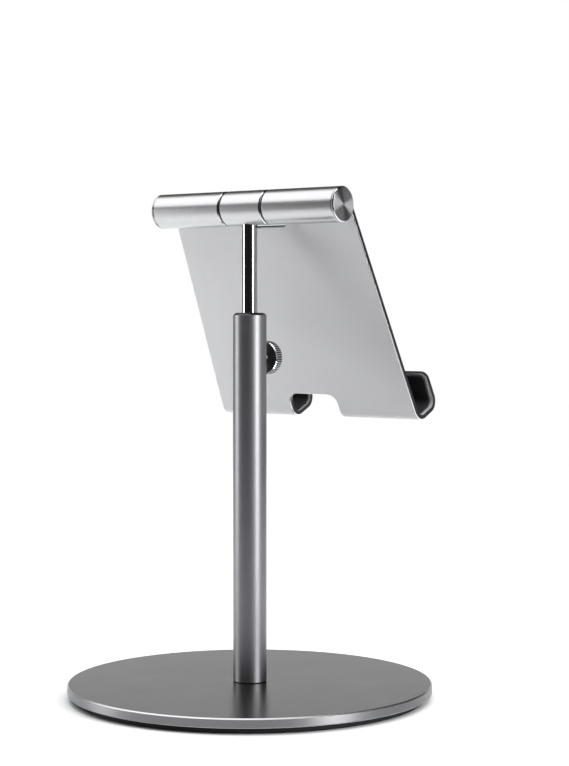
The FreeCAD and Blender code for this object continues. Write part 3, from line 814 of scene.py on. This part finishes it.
# The tops of the knurl's teeth are coloured light grey, far lighter than the dark anodising: a painted glint of
# the key light on the teeth.
knurl_painted_glint = blasted_metal(
    "knurl_tops_painted_glint",
    colour=(0.70, 0.70, 0.71, 1),
    roughness=0.42,
    grain_size=0.12 * MM,
    grain_depth=0.002 * MM,
)
knob_work = bmesh.new()
knob_place = Matrix.Translation((0, knob_high.y, thumb_height)) @ Matrix.Rotation(math.pi / 2, 4, "X")
bmesh.ops.create_circle(
    knob_work, segments=knob_points, radius=knob_radius - knob_rim_chamfer, matrix=knob_place
)
ring_edges = list(knob_work.edges)
# Each step is how far the next ring lies in front of the last, and its radius. None is the knurl.
steps_across_knob = [
    (knob_rim_chamfer, None),
    (knob_high.y - knob_low.y - 2 * knob_rim_chamfer, None),
    (knob_rim_chamfer, knob_radius - knob_rim_chamfer),
    (0, knob_dish_radius),
    (-knob_dish_depth, knob_dish_radius - knob_dish_slope),
    (0, knob_boss_radius),
    (knob_boss_height, knob_boss_radius - knob_boss_slope),
    (0, knob_bore),
    (-knob_bore_depth, knob_bore),
]
for forward, flat_radius in steps_across_knob:
    grown = bmesh.ops.extrude_edge_only(knob_work, edges=ring_edges)["geom"]
    ring_edges = [item for item in grown if isinstance(item, bmesh.types.BMEdge) and item.is_boundary]
    for vert in [item for item in grown if isinstance(item, bmesh.types.BMVert)]:
        spoke = Vector((vert.co.x, 0, vert.co.z - thumb_height))
        number = round(math.atan2(spoke.z, spoke.x) / (2 * math.pi) * knob_points)
        in_groove = number % knob_points_per_tooth < knob_points_per_tooth / 2
        knurled = knob_radius - (knob_tooth_depth if in_groove else 0)
        spoke = spoke.normalized() * (flat_radius or knurled)
        vert.co = Vector((spoke.x, vert.co.y - forward, thumb_height + spoke.z))
bmesh.ops.contextual_create(knob_work, geom=ring_edges)
bmesh.ops.contextual_create(knob_work, geom=[e for e in knob_work.edges if e.is_boundary])
bmesh.ops.recalc_face_normals(knob_work, faces=knob_work.faces)
for face in knob_work.faces:
    reach = (face.calc_center_median() - knob_centre).xz.length
    lean = math.degrees(face.normal.angle(Y_AXIS))
    if reach > knob_radius - knob_rim_chamfer and is_chamfer(face, Y_AXIS, within_degrees=25):
        face.material_index = 1
    # The tops of the knurl's teeth take the light grey of the painted glint.
    elif reach > knob_land_radius and abs(lean - 90) < 1:
        face.material_index = 2
finished(
    "thumb_knob_knurled",
    knob_work,
    "thumbscrew",
    ["thumb_knob"],
    "knob_anodise",
    knob_dark,
    knob_bright,
    knurl_painted_glint,
)

thread_turns = math.ceil((thumb_screw_high.y - thumb_screw_low.y) / thumb_pitch) - 1
thread_steps = 40
thread_work = bmesh.new()
thread_start = Vector((0, thumb_screw_low.y, thumb_height))
tooth_outline = [(0, -thread_depth), (0.30, 0), (0.42, 0), (0.72, -thread_depth), (1, -thread_depth)]
tooth_points = [
    thread_work.verts.new(thread_start + Vector((thumb_screw_radius + depth, share * thumb_pitch, 0)))
    for share, depth in tooth_outline
]
tooth_lines = [thread_work.edges.new(pair) for pair in zip(tooth_points, tooth_points[1:])]
bmesh.ops.spin(
    thread_work,
    geom=tooth_points + tooth_lines,
    cent=thread_start,
    axis=Y_AXIS,
    dvec=Y_AXIS * (thumb_pitch / thread_steps),
    angle=2 * math.pi * thread_turns,
    steps=thread_steps * thread_turns,
)
bmesh.ops.remove_doubles(thread_work, verts=thread_work.verts, dist=0.002 * MM)
bmesh.ops.holes_fill(thread_work, edges=[e for e in thread_work.edges if e.is_boundary], sides=0)
bmesh.ops.recalc_face_normals(thread_work, faces=thread_work.faces)
finished("thumb_screw_threaded", thread_work, "thumbscrew", ["thumb_screw"], "plain_steel", zinc_steel)
dress("thumb_tip", white_acetal)

# ------------------------------------------------------------------ hinge hub
# The middle of the hinge barrel: turned aluminium, fixed on the rod and bored for the axle. Its ends
# are chamfered, so that a fine groove shows on each side.
X_AXIS = Vector((1, 0, 0))
hub_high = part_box("hinge_hub")[1]
hub_half = hub_high.x
barrel_radius = hub_high.z - hinge_centre.z
axle_low, axle_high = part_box("hinge_axle")
axle_radius = (axle_high.z - axle_low.z) / 2
hub_bore = axle_radius + 0.05 * MM
inner_chamfer = 0.4 * MM
barrel_skin = turned_metal(
    "satin_turned",
    colour=(0.58, 0.58, 0.59, 1),
    roughness=0.30,
    axis=X_AXIS,
    centre=hinge_centre,
    across=False,
    pitch=0.09 * MM,
    depth=0.0016 * MM,
)
barrel_cut = turned_metal(
    "bright_turned",
    colour=(0.72, 0.72, 0.73, 1),
    roughness=0.12,
    axis=X_AXIS,
    centre=hinge_centre,
    across=True,
    pitch=0.05 * MM,
    depth=0.0004 * MM,
)
hub_work = turned(
    [
        (-hub_half, hub_bore),
        (-hub_half, barrel_radius - inner_chamfer),
        (-hub_half + inner_chamfer, barrel_radius),
        (hub_half - inner_chamfer, barrel_radius),
        (hub_half, barrel_radius - inner_chamfer),
        (hub_half, hub_bore),
    ],
    X_AXIS,
    hinge_centre,
    closed=True,
    steps=96,
)
finished("hinge_hub_turned", hub_work, "post", ["hinge_hub"], "barrel_aluminium", barrel_skin, barrel_cut)

# ------------------------------------------------------------------ hinge axle and washers
# A steel stud runs through the hub into both barrels. A grey nylon washer and a steel spring washer
# sit in each groove, a little below the surface. They are plain rings, so the CAD shapes stay.
grey_nylon = moulded("grey_nylon", colour=(0.06, 0.06, 0.062, 1), roughness=0.5, grain_size=0.2 * MM)
dress("hinge_axle", zinc_steel)
for side in ("left", "right"):
    dress("friction_washer_" + side, grey_nylon)
    dress("spring_washer_" + side, black_oxide)

# ------------------------------------------------------------------ outer barrels
# One bar each side of the hub, turned like it, with a flat milled along the front. The bracket is
# screwed on that flat. The flat leans with the head.
mounts = {mount["name"]: mount for mount in frame["record"]["mounts"]}
towards_user = Vector(mounts["device_back_rest"]["axis"])
up_the_plate = Vector((0, towards_user.z, -towards_user.y))
pad_thickness = 1 * MM
sheet_thickness = 2 * MM
pad_face = (Vector(mounts["device_back_rest"]["pos_m"]) - hinge_centre).dot(towards_user)
plate_front = pad_face - pad_thickness
plate_back = plate_front - sheet_thickness
barrel_outer_chamfer = 0.2 * MM
barrel_soft_edge = 0.05 * MM
for side in ("left", "right"):
    barrel_low, barrel_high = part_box("barrel_" + side)
    outwards = math.copysign(1, barrel_low.x + barrel_high.x)
    near_end, far_end = sorted((abs(barrel_low.x), abs(barrel_high.x)))
    barrel_work = turned(
        [
            (outwards * near_end, axle_radius),
            (outwards * near_end, barrel_radius - inner_chamfer),
            (outwards * (near_end + inner_chamfer), barrel_radius),
            (outwards * (far_end - barrel_outer_chamfer), barrel_radius),
            (outwards * far_end, barrel_radius - barrel_outer_chamfer),
            (outwards * far_end, axle_radius),
        ],
        X_AXIS,
        hinge_centre,
        closed=True,
        steps=96,
        soft_edge=0,
    )
    bmesh.ops.bisect_plane(
        barrel_work,
        geom=barrel_work.verts[:] + barrel_work.edges[:] + barrel_work.faces[:],
        plane_co=hinge_centre + towards_user * plate_back,
        plane_no=towards_user,
        clear_outer=True,
    )
    bmesh.ops.holes_fill(barrel_work, edges=[e for e in barrel_work.edges if e.is_boundary], sides=0)
    bmesh.ops.recalc_face_normals(barrel_work, faces=barrel_work.faces)
    soften(barrel_work, barrel_soft_edge)
    finished(
        "barrel_turned_" + side,
        barrel_work,
        "head",
        ["barrel_" + side],
        "barrel_aluminium",
        barrel_skin,
        barrel_cut,
    )

# ------------------------------------------------------------------ end caps
# Turned aluminium caps pressed into the barrels' ends. The tool leaves fine rings on the face, which
# throw the light in a fan, and a bright chamfer is cut last.
cap_spigot_radius = 4 * MM
cap_spigot_length = 4 * MM
cap_chamfer = 0.45 * MM
cap_back_edge = 0.12 * MM
cap_ring_count = 26
cap_ring_depth = 0.014 * MM
cap_soft_edge = 0.04 * MM
cap_face = turned_metal(
    "faced_aluminium",
    colour=(0.42, 0.42, 0.43, 1),
    roughness=0.42,
    axis=X_AXIS,
    centre=hinge_centre,
    across=True,
    pitch=0.05 * MM,
    depth=0.0012 * MM,
    anisotropy=0.9,
)
for side in ("left", "right"):
    cap_low, cap_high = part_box("end_cap_" + side)
    outwards = math.copysign(1, cap_low.x + cap_high.x)
    cap_end = max(abs(cap_low.x), abs(cap_high.x))
    cap_start = min(abs(cap_low.x), abs(cap_high.x)) + cap_spigot_length
    face_radius = barrel_radius - cap_chamfer
    cap_outline = [
        (outwards * (cap_start - cap_spigot_length), 0),
        (outwards * (cap_start - cap_spigot_length), cap_spigot_radius),
        (outwards * cap_start, cap_spigot_radius),
        (outwards * cap_start, barrel_radius - cap_back_edge),
        (outwards * (cap_start + cap_back_edge), barrel_radius),
        (outwards * (cap_end - cap_chamfer), barrel_radius),
    ]
    for ring in range(2 * cap_ring_count + 1):
        sunk = cap_ring_depth if ring % 2 else 0
        ring_radius = face_radius * (1 - ring / (2 * cap_ring_count))
        cap_outline.append((outwards * (cap_end - sunk), ring_radius))
    cap_work = turned(cap_outline, X_AXIS, hinge_centre, steps=96, soft_edge=0)
    soften(cap_work, cap_soft_edge, over_degrees=30)
    finished(
        "end_cap_faced_" + side,
        cap_work,
        "head",
        ["end_cap_" + side],
        "turned_aluminium",
        cap_face,
        barrel_cut,
    )

# ------------------------------------------------------------------ bracket
# Two-millimetre aluminium sheet, cut to its outline, chamfered bright round the outer face, bent up at
# the foot into two hooks, and blasted. It is worked flat here and then folded.
bracket_top_setback = 0.3 * MM
bracket_top = math.sqrt(barrel_radius**2 - plate_back**2) - bracket_top_setback
bracket_foot = -101 * MM
foot_half_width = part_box("bracket")[1].x
cap_level = -math.sqrt(barrel_radius**2 - plate_back**2)
cap_step = 0.1 * MM
cap_level_half_width = far_end - cap_step
bend_inner_radius = 3.5 * MM
channel_width = 12.4 * MM
lip_height = 16.5 * MM
lip_top = bracket_foot + lip_height
notch_half = 12.5 * MM
notch_height = 12.5 * MM
notch_top = bracket_foot + notch_height
cutout_gap = 0.2 * MM
cutout_half = near_end + cutout_gap
cutout_below_barrel = 3.7 * MM
cutout_bottom = -(barrel_radius + cutout_below_barrel)
top_corner = 1.2 * MM
cutout_corner = 1.5 * MM
hook_corner = 3 * MM
notch_corner = 4.5 * MM
bright_chamfer = 0.3 * MM
bracket_soft_edge = 0.05 * MM
bend_outer_radius = bend_inner_radius + sheet_thickness
bend_level = bracket_foot + bend_outer_radius
near_bend_depth = plate_front + bend_inner_radius
far_bend_depth = plate_front + channel_width - bend_inner_radius
bend_length = bend_outer_radius * math.pi / 2
near_bend_start = bracket_top - bend_level
floor_start = near_bend_start + bend_length
far_bend_start = floor_start + far_bend_depth - near_bend_depth
lip_start = far_bend_start + bend_length
blank_length = lip_start + lip_top - bend_level
blank_half_width = 55 * MM
bend_steps = 12


def half_width_at(level):
    """Half the bracket's width at a level above the hinge's axis. It widens downwards past the caps."""
    share = (cap_level - level) / (cap_level - bracket_foot)
    return cap_level_half_width + (foot_half_width - cap_level_half_width) * share


def blank(outline, depth, thickness):
    """A flat blank, depth in front of the bracket's outer face. outline lists (across, down, corner)."""
    work = bmesh.new()
    corners = [work.verts.new((across, -depth, -down)) for across, down, _ in outline]
    work.faces.new(corners)
    for radius in sorted({row[2] for row in outline if row[2] > 0}):
        bmesh.ops.bevel(
            work,
            geom=[corner for corner, row in zip(corners, outline) if row[2] == radius],
            offset=radius,
            offset_type="OFFSET",
            affect="VERTICES",
            segments=8,
            profile=0.5,
            material=-1,
        )
    scores = [
        start + bend_length * step / bend_steps
        for start in (near_bend_start, far_bend_start)
        for step in range(bend_steps + 1)
    ]
    for down in scores:
        bmesh.ops.bisect_plane(
            work,
            geom=work.verts[:] + work.edges[:] + work.faces[:],
            plane_co=(0, 0, -down),
            plane_no=Z_AXIS,
        )
    raised = bmesh.ops.extrude_face_region(work, geom=work.faces[:])["geom"]
    raised = [item for item in raised if isinstance(item, bmesh.types.BMVert)]
    bmesh.ops.translate(work, verts=raised, vec=-Y_AXIS * thickness)
    bmesh.ops.recalc_face_normals(work, faces=work.faces)
    return work


def fold(work, tapered=True):
    """Bends a blank at the scores, tapers its sides, and leans it back on the hinge."""
    for vert in work.verts:
        across, depth, down = vert.co.x, -vert.co.y, -vert.co.z
        radius = bend_outer_radius - depth
        near_turn = min(max((down - near_bend_start) / bend_outer_radius, 0), math.pi / 2)
        far_turn = min(max((down - far_bend_start) / bend_outer_radius, 0), math.pi / 2)
        along_floor = min(max(down - floor_start, 0), far_bend_start - floor_start)
        forward = near_bend_depth - radius * math.cos(near_turn) + along_floor
        forward += radius * math.sin(far_turn)
        level = bend_level + max(near_bend_start - down, 0) - radius * math.sin(near_turn)
        level += radius * (1 - math.cos(far_turn)) + max(down - lip_start, 0)
        if tapered and abs(across) > blank_half_width / 2:
            across = math.copysign(abs(across) - blank_half_width + half_width_at(level), across)
        vert.co = hinge_centre + X_AXIS * across + towards_user * forward + up_the_plate * level
    bmesh.ops.recalc_face_normals(work, faces=work.faces)
    if work.calc_volume(signed=True) < 0:
        bmesh.ops.reverse_faces(work, faces=work.faces)


def on_the_flat(face):
    """Whether a blank's face is on its front or back, and not on its sheared edge."""
    return abs(face.normal.y) > 0.5


bracket_skin = blasted_metal(
    "blasted_aluminium",
    colour=(0.77, 0.77, 0.78, 1),
    roughness=0.78,
    grain_size=0.16 * MM,
    grain_depth=0.004 * MM,
)
bracket_cut = blasted_metal(
    "cut_aluminium",
    colour=(0.70, 0.70, 0.71, 1),
    roughness=0.18,
    grain_size=0.12 * MM,
    grain_depth=0.001 * MM,
)
# The sheet's sheared edges are coloured dark grey, far darker than the blasted faces: a painted reflection of the
# dark room on the edges.
edge_painted_dark = blasted_metal(
    "sheared_edge_painted_dark",
    colour=(0.13, 0.13, 0.135, 1),
    roughness=0.40,
    grain_size=0.16 * MM,
    grain_depth=0.003 * MM,
)
bracket_work = blank(
    [
        (-blank_half_width, 0, top_corner),
        (-cutout_half, 0, top_corner),
        (-cutout_half, bracket_top - cutout_bottom, cutout_corner),
        (cutout_half, bracket_top - cutout_bottom, cutout_corner),
        (cutout_half, 0, top_corner),
        (blank_half_width, 0, top_corner),
        (blank_half_width, blank_length, hook_corner),
        (notch_half, blank_length, hook_corner),
        (notch_half, bracket_top - notch_top, notch_corner),
        (-notch_half, bracket_top - notch_top, notch_corner),
        (-notch_half, blank_length, hook_corner),
        (-blank_half_width, blank_length, hook_corner),
    ],
    0,
    sheet_thickness,
)
outer_rim = [
    edge
    for edge in bracket_work.edges
    if sum(on_the_flat(face) for face in edge.link_faces) == 1
    and abs(edge.verts[0].co.y) + abs(edge.verts[1].co.y) < 0.01 * MM
]
bmesh.ops.bevel(
    bracket_work,
    geom=outer_rim,
    offset=bright_chamfer,
    offset_type="OFFSET",
    affect="EDGES",
    segments=1,
    profile=0.5,
    material=-1,
)
for face in bracket_work.faces:
    if is_chamfer(face, Y_AXIS):
        face.material_index = 1
    # The sheared edges take the dark colour of the painted reflection.
    elif not on_the_flat(face):
        face.material_index = 2
soften(bracket_work, bracket_soft_edge, over_degrees=30)
fold(bracket_work)
finished(
    "bracket_bent",
    bracket_work,
    "head",
    ["bracket"],
    "bracket_anodise",
    bracket_skin,
    bracket_cut,
    edge_painted_dark,
)
dress("plate_screws", black_oxide)

# ------------------------------------------------------------------ bracket pads
# Black silicone: one sheet glued on the front of the plate, cut away round the hub, and a lining in
# each hook that follows the bend and runs up the lip.
pad_margin = 1 * MM
pad_joint_gap = 0.6 * MM
pad_corner = 4 * MM
hook_pad_top_corner = 1 * MM
hook_pad_end_corner = 2 * MM
pad_round = 0.22 * MM
pad_top = pad_margin
front_pad_end = bracket_top - notch_top - pad_margin
pad_cutout_half = cutout_half + pad_margin
pad_cutout_end = bracket_top - cutout_bottom + pad_margin
front_pad_work = blank(
    [
        (-blank_half_width + pad_margin, pad_top, pad_corner),
        (-pad_cutout_half, pad_top, cutout_corner),
        (-pad_cutout_half, pad_cutout_end, cutout_corner),
        (pad_cutout_half, pad_cutout_end, cutout_corner),
        (pad_cutout_half, pad_top, cutout_corner),
        (blank_half_width - pad_margin, pad_top, pad_corner),
        (blank_half_width - pad_margin, front_pad_end, pad_corner),
        (-blank_half_width + pad_margin, front_pad_end, pad_corner),
    ],
    sheet_thickness,
    pad_thickness,
)
soften(front_pad_work, pad_round, over_degrees=60, segments=3)
fold(front_pad_work)
finished("front_pad_sheet", front_pad_work, "head", ["front_pad"], "silicone", black_silicone)

hook_pad_start = front_pad_end + pad_joint_gap
hook_pad_end = blank_length - pad_margin
for side in ("left", "right"):
    hook_pad_low, hook_pad_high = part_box("hook_pad_" + side)
    hook_pad_work = blank(
        [
            (hook_pad_low.x, hook_pad_start, hook_pad_top_corner),
            (hook_pad_high.x, hook_pad_start, hook_pad_top_corner),
            (hook_pad_high.x, hook_pad_end, hook_pad_end_corner),
            (hook_pad_low.x, hook_pad_end, hook_pad_end_corner),
        ],
        sheet_thickness,
        pad_thickness,
    )
    soften(hook_pad_work, pad_round, over_degrees=60, segments=3)
    fold(hook_pad_work, tapered=False)
    finished(
        "hook_pad_bent_" + side, hook_pad_work, "head", ["hook_pad_" + side], "silicone", black_silicone
    )
